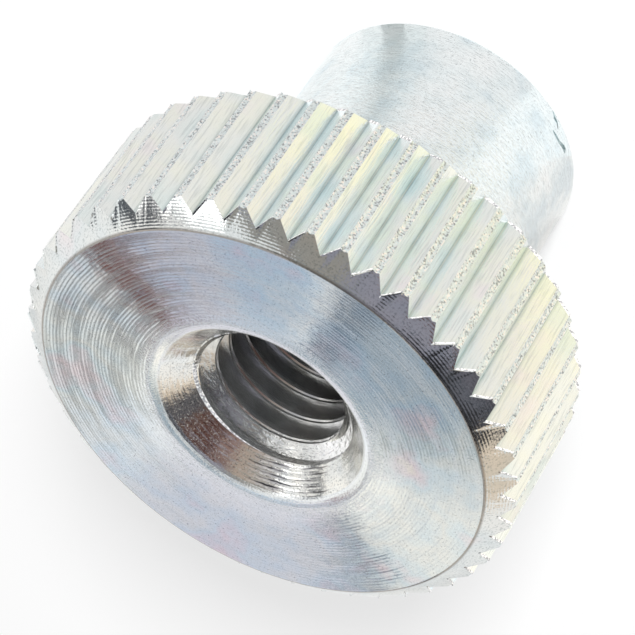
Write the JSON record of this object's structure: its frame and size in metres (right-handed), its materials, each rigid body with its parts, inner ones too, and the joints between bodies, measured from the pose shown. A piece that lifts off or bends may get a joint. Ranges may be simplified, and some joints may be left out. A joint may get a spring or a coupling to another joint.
{
  "type": "knurled nut",
  "caption": "High knurled nut of plated steel, with straight teeth around a bevelled head, a plain round collar and a countersunk through thread.",
  "frame": {"origin": "centre of the collar's end face, which the nut bears on and stands on", "axes": "+Z along the thread's axis, from the collar's end to the head's flat face; +X runs through the bottom of a knurl groove"},
  "size_m": [0.018, 0.018, 0.015],
  "materials": {
    "zinc_plated_steel": "turned steel with a clear blue zinc plating, with rings from the tool on the faces and bright, rough crests on the knurl"
  },
  "bodies": {
    "root": {"knurled_nut": "zinc_plated_steel"}
  },
  "joints": []
}
